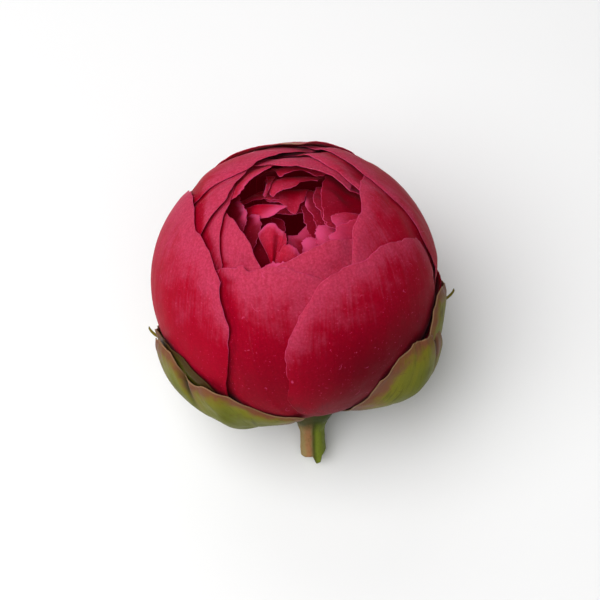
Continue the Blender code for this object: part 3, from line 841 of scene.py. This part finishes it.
def stem_material(settings):
    """Fleshy stem: tan with a pinkish stripe left of the groove, green right of it, with painted
    shade in the groove and near the sepals under the ball, long fibres down it and a pale moist
    cut."""
    material, nodes = new_material("Stem")
    where = nodes.add("TexCoord", {}, "Object")
    drawn_out = nodes.add("Mapping", {"Vector": where, "Rotation": (LEAN, 0, 0),
                                      "Scale": (1, 1, 0.12)})
    fibre = nodes.noise(drawn_out, 1500.0, 3.0)
    blotch = nodes.noise(where, 330.0, 3.0)
    side = nodes.total(nodes.fact("side"), nodes.times(nodes.less(blotch, 0.5), 0.5))
    color = nodes.mix(nodes.ramp(side, -0.12, 0.1), settings.tan, settings.stem)
    stripe = nodes.times(nodes.ramp(side, -0.75, -0.45), nodes.ramp(side, -0.3, -0.12, 1.0, 0.0))
    color = nodes.mix(nodes.times(stripe, 0.7), color, settings.stripe)
    lines = nodes.ramp(fibre, 0.5, 0.75, 0.0, 0.45)
    color = nodes.mix(lines, color, tone(settings.stem, 0.4))
    # Painted shade in the groove.
    groove = nodes.times(nodes.fact("groove"), 0.8)
    color = nodes.mix(groove, color, tone(settings.stem, 0.3))
    # Painted shade near the sepals, under the ball.
    down = nodes.total(nodes.fact("down"), nodes.times(blotch, 0.15))
    color = nodes.mix(nodes.ramp(down, 0.4, 0.64, 0.9, 0.0), color, tone(settings.stem, 0.2))
    nodes.surface({
        "Base Color": nodes.mix(nodes.times(nodes.fact("cut"), 0.8), color, settings.cut),
        "Roughness": nodes.ramp(blotch, 0.3, 0.7, 0.4, 0.55),
        "Specular IOR Level": 0.08,
        "Normal": nodes.bump(fibre, 0.5, 0.0003),
    })
    return material


# ---- guard petals ----
# Irregular curves: the slowest and the fastest wave, in turns across or up the petal.
TIP_WAVES, SIDE_WAVES, FURROW_WAVES = (1.2, 9), (1.5, 12), (4, 22)
TIP_LIFT_WAVES, SIDE_LIFT_WAVES = (0.8, 4), (1, 5)
NICK_WIDTH = 0.03           # as a share of the petal's half-width
ROSY_EDGE = 0.16            # how much rosier a petal is along its edge
ROSY_WIDTH = 6.0            # and in which width, in millimetres
SHADOW_DEEPENS = 0.4         # how much less rosy the painted shadow beside a petal over it makes it
SHADOW_DARKENS = 0.3         # and how much darker that painted shadow makes it


def edge_lift(name, u, v, seed):
    """How far a guard petal's edge lifts, or is pressed down where negative: a bell of the
    distance from each edge, uneven along it. Where both edges do the same, the stronger counts,
    and where they differ, their sum."""
    left, top, right = GUARD_PETALS[name].lifts
    if np.ndim(right):
        right = right[0] + (right[1] - right[0]) * smooth((v - 0.62) / 0.2)
    from_side, from_top = GUARDS[name].inwards(u, v)
    side = np.where(u < 0, left, right) * smooth((v - 0.25) / 0.3)
    at_side = side * bell(from_side, np.where(side < 0, PRESSED, LIFTED))
    at_side = at_side * (1 + 0.5 * wave(v, seed, *SIDE_LIFT_WAVES))
    at_top = top * bell(from_top, PRESSED if top < 0 else LIFTED)
    at_top = at_top * (1 + 0.5 * wave(u, seed + 1, *TIP_LIFT_WAVES))
    stronger = np.where(np.abs(at_top) > np.abs(at_side), at_top, at_side)
    return np.where(at_top * at_side < 0, at_top + at_side, stronger)


def guard_petal(name, settings):
    """Sheet over the ball. Its point at (u, v) lies in the direction of the midrib at angle
    foot + (tip(u) - foot) v, turned aside by width(u, v) u, where the tip and the width wander a
    little along the edge and a nick sticks out. Its outside lies on guard_radius() plus the lift of
    its edges and furrows that run up it, and its inside lies closer to it at the thin edge. It is
    rosier higher up and along its edge, partly in its own colour and partly as painted sheen, with
    more painted sheen to its left. It stays deeper crimson in a painted shadow beside the petals
    over it, and some petals have painted shade towards their foot and right side."""
    outline = GUARDS[name]
    seed = seed_of(name, GUARD_PETALS, GUARD_SEED)
    u, v = petal_grid(*GUARD_GRID)
    near_top = smooth((v - 0.8) / 0.2)
    near_side = smooth((np.abs(u) - 0.7) / 0.3) * smooth(v / 0.25)
    tip = outline.tip(u) + settings.edge_wander * wave(u, seed, *TIP_WAVES) * near_top
    side = np.where(u < 0, wave(v, seed + 1, *SIDE_WAVES), wave(v, seed + 2, *SIDE_WAVES))
    if name in GUARD_NICKS:
        place_across, nick = GUARD_NICKS[name]
        tip = tip - nick * bell(u - place_across, NICK_WIDTH) * near_top
    along = outline.foot + (tip - outline.foot) * v
    across = outline.width(u, v) * u + np.sign(u) * (settings.edge_wander * side * near_side)
    d = direction(outline.azimuth, along, across)
    lift = edge_lift(name, u, v, seed + 3)
    furrows = settings.furrow * wave(u, seed + 5, *FURROW_WAVES) * smooth(v / 0.2)
    radius = guard_radius(name, d)
    free = 1 - smooth((ball(d) - radius) / LAYER * 2)
    radius = radius + np.where(lift > 0, lift * (0.25 + 0.75 * free), lift) + furrows * free
    edge = outline.edge_distance(u, v, BALL_RADIUS)
    thick = thinned(settings.thickness, edge, *GUARD_THINS)
    # Rose that is partly own colour and partly painted sheen; the extra rose to the left is painted
    # sheen.
    rosy, painted_sheen_left = GUARD_PETALS[name].rosiness
    # Painted shadow beside the edges of the petals that lie over this one.
    edge_shadow = painted_edge_shadow(name, d)
    rosy_edge = ROSY_EDGE * bell(edge, ROSY_WIDTH) * smooth((v - 0.45) / 0.4)
    tint = v + rosy - painted_sheen_left * u + rosy_edge
    # Painted shade towards the foot and the right side of the bud, away from the key light.
    share, height = GUARD_PAINTED_SHADE.get(name, (0, 1))
    dark = share * smooth(u + 1.3) * smooth((height - v) / 0.45)
    faded = np.zeros_like(u)
    if name in GUARD_FADES:
        place_across, sideways, down = GUARD_FADES[name]
        from_top = outline.inwards(u, v)[1]
        faded = bell(u - place_across, sideways) * smooth(1 - from_top / down)
    facts = {"edge": edge + 2 * (1 - smooth((v - 0.3) / 0.3)),
             "height": tint - SHADOW_DEEPENS * edge_shadow, "lilac": np.zeros_like(u),
             "faded": faded, "dark": np.maximum(dark, SHADOW_DARKENS * edge_shadow)}
    return shell(name, d, radius, radius - thick, facts)


class PeonyGuardPetals(bpy.types.Operator):
    """Makes the big outer petals that wrap the ball"""

    bl_idname = "peony.guard_petals"
    bl_label = "Guard petals"

    def execute(self, context):
        settings = context.scene.peony_petals
        material = petal_material("Crimson petal", settings, 0.74, 1.12, 0.55, 0.6, 0.0)
        for name in GUARDS:
            piece = guard_petal(name, settings)
            finish_piece(piece, material, "guard_petal", name)
        return {"FINISHED"}


# ---- inner petals ----
# Irregular curves: the slowest and the fastest wave, in turns across the petal.
INNER_BROAD_WAVES, INNER_FINE_WAVES, INNER_FURROW_WAVES = (0.6, 3), (3, 8), (4, 16)
INNER_FURROW = 0.03         # depth of the furrows
INNER_BLUSH = 45            # degrees down from the tip over which rose turns to deep


def inner_petal(name, settings):
    """Sheet on inner_surface() whose tip edge wanders a little, with fine furrows up the petal. It
    is thinner at its edge and its foot, rosier towards its tip, and lilac in one place there; its
    listed darkness is painted shade, which also makes it less rosy."""
    seed = seed_of(name, INNER_PETALS, INNER_SEED)
    u, v = petal_grid(*INNER_GRID)
    near_top = smooth((v - 0.85) / 0.15)
    wander = wave(u, seed, *INNER_BROAD_WAVES) + 0.5 * wave(u, seed + 1, *INNER_FINE_WAVES)
    d, radius = inner_surface(name, u, v, settings.edge_wander * wander * near_top)
    outline = inner_outline(name)
    edge = outline.edge_distance(u, v, INNER_RADIUS)
    furrows = INNER_FURROW * wave(u, seed + 2, *INNER_FURROW_WAVES)
    radius = radius + furrows * smooth(v / 0.2)
    thick = thinned(INNER_PETAL, edge, *INNER_THINS) * (0.5 + 0.5 * smooth(v / 0.3))
    share, place_across, sideways, down = INNER_PETALS[name].lilac
    # Painted shade for the petal's place deep in the mouth.
    dark = INNER_PETALS[name].dark
    from_tip = outline.inwards(u, v)[1]
    lilac = share * bell(u - place_across, sideways) * smooth(1 - from_tip / down)
    height = smooth(1 - from_tip / INNER_BLUSH) - 0.15 * dark
    facts = {"edge": edge, "height": height, "lilac": lilac, "faded": np.zeros_like(u),
             "dark": np.full_like(u, dark)}
    return shell(name, d, radius, radius - thick, facts)


class PeonyInnerPetals(bpy.types.Operator):
    """Makes the small petals inside the mouth"""

    bl_idname = "peony.inner_petals"
    bl_label = "Inner petals"

    def execute(self, context):
        settings = context.scene.peony_petals
        material = petal_material("Inner petal", settings, 0.6, 1.4, 0.85, 0.0, 0.07)
        for name in INNER_PETALS:
            piece = inner_petal(name, settings)
            finish_piece(piece, material, "inner_petal", name)
        return {"FINISHED"}


# ---- sepals and bracts ----
# Irregular curves: the slowest and the fastest wave, in turns across or up the sepal.
SEPAL_TIP_WAVES, SEPAL_SIDE_WAVES, VEIN_WAVES, CURL_WAVES = (1, 7), (1, 8), (6, 20), (1.5, 5)
SEPAL_TIP_WANDER, SEPAL_SIDE_WANDER = 0.7, 0.6  # of its edges, in degrees
SEPAL_BUMPS, SEPAL_BUMP_SIZE = 0.16, 9.0        # height and width of its low bumps
SEPAL_VEINS = 0.05          # height of its veins
SEPAL_CURL = 0.3            # how far its top edge curls in and out
FOLD_WIDTH, FOLD_DEPTH = 0.045, 0.7             # of a fold: share of the half-width; millimetres
SPUR_WIDTH, SPUR_LENGTH = 0.014, 2.6            # of the spur: share of the half-width; degrees
BRACT_THICKNESS, BRACT_HOLLOW = 0.9, 0.35       # at a bract's middle


def sepal(name, settings):
    """Sheet that stands off the petals. Its point at (u, v) lies in the direction of the midrib
    at angle foot + (tip(u) - foot) v, turned aside by width(u, v) u, and both wander a little. Its
    inside lies on sepal_radius() plus low bumps, and its outside farther out by a thickness that
    thins towards the edge. A fold is a narrow groove that runs down from a dip in the top edge,
    with a small spur beside it and a stain that keeps the colours of the edge around it."""
    outline = CALYX[name]
    seed = seed_of(name, SEPALS, SEPAL_SEED)
    u, v = petal_grid(*SEPAL_GRID)
    near_top = smooth((v - 0.75) / 0.25)
    near_side = smooth((np.abs(u) - 0.6) / 0.4) * smooth(v / 0.25)
    tip = outline.tip(u) + SEPAL_TIP_WANDER * wave(u, seed, *SEPAL_TIP_WAVES) * near_top
    wander = np.sign(u) * SEPAL_SIDE_WANDER * wave(v, seed + 1, *SEPAL_SIDE_WAVES) * near_side
    across = outline.width(u, v) * u + wander
    fold = stained = np.zeros_like(u)
    if name in SEPAL_FOLDS:
        place_across, dip = SEPAL_FOLDS[name]
        fold = bell(u - place_across - 0.06 * (1 - v), FOLD_WIDTH) * smooth((v - 0.62) / 0.25)
        spur = bell(u - place_across - 0.035, SPUR_WIDTH) * smooth((v - 0.97) / 0.03)
        tip = tip + dip * bell(u - place_across, 2 * FOLD_WIDTH) * near_top - SPUR_LENGTH * spur
        stained = bell(u - place_across - 0.04, 0.13) * smooth((v - 0.55) / 0.3)
    d = direction(outline.azimuth, outline.foot + (tip - outline.foot) * v, across)
    edge = outline.edge_distance(u, v, SEPAL_RADIUS)
    thick = thinned(settings.thickness, edge, *SEPAL_THINS)
    bumps = SEPAL_BUMPS * relief(d * SEPAL_RADIUS, seed + 2, SEPAL_BUMP_SIZE)
    bumps = bumps + SEPAL_VEINS * wave(u, seed + 3, *VEIN_WAVES)
    inside = sepal_radius(name, d, u, v) + np.maximum(bumps, -0.2) * smooth(v / 0.3)
    inside = inside + SEPAL_CURL * wave(u, seed + 4, *CURL_WAVES) * bell(edge, 1.5) * near_top
    inside = inside - FOLD_DEPTH * fold
    # Painted shade on the side that the sepal over it shades; the fold is painted dark as shade
    # too.
    shade_and_tone = SEPAL_SHADES.get(name, 0) * smooth(0.2 + 1.3 * u)
    facts = {"edge": edge * (1 - 0.75 * stained), "height": v, "fold": fold, "shade_and_tone": shade_and_tone}
    return shell(name, d, inside + thick, inside, facts)


def bract(name, settings):
    """Narrow leaf that stands off the petals as a sepal does. Its inside is hollow by a share of
    1 - u^2, it thins to its sides and its tip, and its last part curls outward."""
    outline = CALYX[name]
    u, v = petal_grid(*BRACT_GRID)
    along = outline.foot + (outline.tip(u) - outline.foot) * v
    d = direction(outline.azimuth, along, outline.width(u, v) * u)
    thick = BRACT_THICKNESS * (1 - 0.8 * u * u) * (0.25 + 0.75 * smooth((1 - v) / 0.25))
    inside = sepal_radius(name, d, u, v) + settings.bract_curl * smooth((v - 0.86) / 0.14)
    inside = inside - BRACT_HOLLOW * (1 - u * u)
    # A bract's shade fact is its own darker tone.
    facts = {"edge": outline.edge_distance(u, v, SEPAL_RADIUS), "height": v,
             "fold": np.zeros_like(u), "shade_and_tone": np.full_like(u, 0.2)}
    return shell(name, d, inside + thick, inside, facts)


class PeonySepals(bpy.types.Operator):
    """Makes the sepals that cup the ball and the two narrow bracts"""

    bl_idname = "peony.sepals"
    bl_label = "Sepals and bracts"

    def execute(self, context):
        settings = context.scene.peony_greens
        sepal_green = sepal_material("Sepal green", settings, 4.0, 1.0)
        bract_green = sepal_material("Bract green", settings, 0.6, 0.2)
        for name in SEPALS:
            if name.startswith("bract"):
                piece, material = bract(name, settings), bract_green
            else:
                piece, material = sepal(name, settings), sepal_green
            finish_piece(piece, material, "sepal", name)
        return {"FINISHED"}


# ---- stem ----
# Grooves: angle from the main one, half-width in degrees, and share of its depth.
STEM_GROOVES = ((0, 13, 1.0), (75, 9, 0.3), (-95, 12, 0.3))
STEM_RIDGES = 9             # shallow ridges around the stem
RIDGE_HEIGHT, DENT_HEIGHT = 0.05, 0.08
# The torn end: x across the stem, and how far it reaches past the cut there.
TORN_X = (-0.4, 0.3, 1.7, 2.3, STEM_RADIUS)
TORN_REACH = (0, STEM_TEAR, 0.8 * STEM_TEAR, 0.1, -0.3)
CAP_RINGS = (0.97, 0.85, 0.6, 0.3, 0.02)    # radii that close the cut, as shares of the last ring's


def stem(settings):
    """Tube whose radius follows the receptacle's and stem's profile down its depth, with a groove
    along its front, two faint ones and shallow ridges. On the groove's right a torn tip runs on
    past the cut as a wedge in x. Past the cut the rings draw in to the middle."""
    turn = np.linspace(0, 2 * math.pi, STEM_SIDES + 1)[:-1]
    radii, depths = np.array(STEM_PROFILE).T
    knots = np.arange(len(radii))
    # Eight rings to each part of the profile, and 32 to the last one, which the tear needs.
    steps = np.concatenate([np.linspace(0, 11, 89), np.linspace(11, 12, 33)[1:]])
    a, depth = np.meshgrid(turn, np.interp(steps, knots, depths))
    radius = np.repeat(np.interp(steps, knots, radii)[:, None], STEM_SIDES, 1)
    away = (np.degrees(a) - settings.groove_place + 180) % 360 - 180
    on_stem = smooth((depth - STEM_START) / 6)
    grooves = sum(share * bell(away - angle, width) for angle, width, share in STEM_GROOVES)
    ridges = RIDGE_HEIGHT * np.cos(STEM_RIDGES * a + 0.5 * wave(depth / 9, STEM_SEED, 1, 4))
    dents = DENT_HEIGHT * wave(depth / 16 + 0.3 * np.cos(a), STEM_SEED + 1, 1, 6)
    ridges = ridges + dents
    radius = radius * (1 - on_stem * (settings.groove * grooves)) + on_stem * ridges
    torn = np.interp(radius * np.sin(a), TORN_X, TORN_REACH)
    front = 0.45 + 0.55 * smooth(0.5 + 0.8 * np.cos(a))
    last = smooth((depth - (STEM_END - 3)) / 3)
    depth = depth + last * torn * front + 0.12 * last * wave(a / 6.3, STEM_SEED + 2, 3, 12)
    draw = np.array(CAP_RINGS)[:, None]
    radius = np.concatenate([radius, radius[-1] * draw])
    cap = STEM_END + (depth[-1] - STEM_END) * draw ** 2 - 0.35 * (1 - draw ** 2)
    depth = np.concatenate([depth, cap])
    cut = np.concatenate([np.zeros_like(a), np.ones_like(cap)])
    a, away = (np.concatenate([grid, np.repeat(grid[-1:], len(draw), 0)]) for grid in (a, away))
    middle = STEM_SHIFT * smooth((depth - STEM_START) / 8)
    middle = middle - STEM_LEAN * smooth((depth - 44) / 8.4)
    points = np.stack([radius * np.sin(a) + middle, -radius * np.cos(a), -depth], -1)
    ends = [[0, 0, -STEM_PROFILE[0][1]], [middle[-1, 0], 0, -cap[-1].mean()]]
    rows, cols = a.shape
    apex, end = rows * cols, rows * cols + 1
    index = np.arange(rows * cols).reshape(rows, cols)
    ahead = np.roll(index, -1, 1)
    faces = np.stack([index[:-1], index[1:], ahead[1:], ahead[:-1]], -1).reshape(-1, 4).tolist()
    faces += np.stack([np.full(cols, apex), index[0], ahead[0]], -1).tolist()
    faces += np.stack([index[-1], np.full(cols, end), ahead[-1]], -1).tolist()
    facts = {"side": np.sin(np.radians(away)), "groove": bell(away, 9),
             "down": np.clip((depth - 34) / 20, 0, 1), "cut": cut}
    facts = {fact: np.append(values, [0, values[-1].mean()]) for fact, values in facts.items()}
    return add_piece("stem", np.concatenate([points.reshape(-1, 3), ends]), faces, facts)


class PeonyStem(bpy.types.Operator):
    """Makes the receptacle and the short cut stem"""

    bl_idname = "peony.stem"
    bl_label = "Stem"

    def execute(self, context):
        settings = context.scene.peony_greens
        finish_piece(stem(settings), stem_material(settings), "stem", "stem")
        return {"FINISHED"}


# ---- stage ----
LENS, SENSOR_WIDTH = 85, 36         # in millimetres
CAMERA_SHIFT = (1 / 120, -1 / 30)   # to the right and up, as shares of the picture's width
FLOOR = 3.0                         # half of the floor's side, in metres
DAYLIGHT = 0.1                      # strength of the even white light from all sides
# Each light: the way to it from the ball, its distance and width in metres, and its power in watts.
LIGHTS = {
    "key light": ((-0.37, -0.12, 0.86), 1.0, 1.1, 13.4),
    "fill light": ((0.12, -0.52, 0.85), 1.2, 0.7, 2.3),
    "back light": ((-0.1, 0.8, 0.6), 1.2, 1.0, 2.5),
}


def area_light(name, way, distance, size, power):
    """Round white light that looks at the ball from this way, at this distance in metres."""
    data = bpy.data.lights.new(name, "AREA")
    data.shape = "DISK"
    data.size, data.energy = size, power
    light = add_object(name, data)
    light.location = Vector(CENTRE) + Vector(way).normalized() * distance
    away = light.location - Vector(CENTRE)
    light.rotation_euler = away.to_track_quat("Z", "Y").to_euler()


def make_camera(settings):
    """Camera that looks at the centre of the ball, rolled clockwise, with the bud a little above
    and left of the middle of the picture."""
    data = bpy.data.cameras.new("camera")
    data.lens, data.sensor_width = LENS, SENSOR_WIDTH
    data.shift_x, data.shift_y = CAMERA_SHIFT
    camera = add_object("camera", data)
    e, roll = settings.elevation, settings.roll
    back = Vector((0, -math.cos(e), math.sin(e)))
    level_up = Vector((0, math.sin(e), math.cos(e)))
    side = Vector((1, 0, 0))
    up = level_up * math.cos(roll) + side * math.sin(roll)
    right = side * math.cos(roll) - level_up * math.sin(roll)
    camera.matrix_world = (Matrix.Translation(Vector(CENTRE) + back * settings.distance)
                           @ Matrix((right, up, back)).transposed().to_4x4())
    bpy.context.scene.camera = camera


def make_floor(settings):
    """Wide flat floor at height 0."""
    mesh = bpy.data.meshes.new("floor")
    corners = [(-FLOOR, -FLOOR, 0), (FLOOR, -FLOOR, 0), (FLOOR, FLOOR, 0), (-FLOOR, FLOOR, 0)]
    mesh.from_pydata(corners, [], [(0, 1, 2, 3)])
    material, nodes = new_material("Floor")
    nodes.surface({"Base Color": settings.floor, "Roughness": 0.9, "Specular IOR Level": 0.1})
    mesh.materials.append(material)
    floor = add_object("floor", mesh)


class PeonyStage(bpy.types.Operator):
    """Makes the floor, the soft lights and the camera"""

    bl_idname = "peony.stage"
    bl_label = "Stage"

    def execute(self, context):
        settings = context.scene.peony_stage
        make_floor(settings)
        make_camera(settings)
        for name, row in LIGHTS.items():
            area_light(name, *row)
        world = bpy.data.worlds.new("studio")
        world.use_nodes = True
        background = world.node_tree.nodes["Background"]
        background.inputs["Color"].default_value = (1, 1, 1, 1)
        background.inputs["Strength"].default_value = DAYLIGHT
        context.scene.world = world
        context.scene.view_settings.view_transform = "Standard"
        return {"FINISHED"}


class PeonyPanel(bpy.types.Panel):
    """Lists the bud's operators"""

    bl_idname = "VIEW3D_PT_peony_bud"
    bl_label = "Peony bud"
    bl_space_type = "VIEW_3D"
    bl_region_type = "UI"
    bl_category = "Peony bud"

    def draw(self, context):
        for operator in OPERATORS:
            self.layout.operator(operator.bl_idname)


SETTINGS = {
    "peony_petals": PeonyPetalSettings,
    "peony_greens": PeonyGreenSettings,
    "peony_stage": PeonyStageSettings,
}
OPERATORS = (PeonyGuardPetals, PeonyInnerPetals, PeonySepals, PeonyStem, PeonyStage)


def register():
    for cls in (*SETTINGS.values(), *OPERATORS, PeonyPanel):
        bpy.utils.register_class(cls)
    for name, cls in SETTINGS.items():
        setattr(bpy.types.Scene, name, bpy.props.PointerProperty(type=cls))


def unregister():
    for name in SETTINGS:
        delattr(bpy.types.Scene, name)
    for cls in (PeonyPanel, *reversed(OPERATORS), *reversed(SETTINGS.values())):
        bpy.utils.unregister_class(cls)


def main():
    register()
    for operator in OPERATORS:
        group, call = operator.bl_idname.split(".")
        getattr(getattr(bpy.ops, group), call)()


if __name__ == "__main__":
    main()
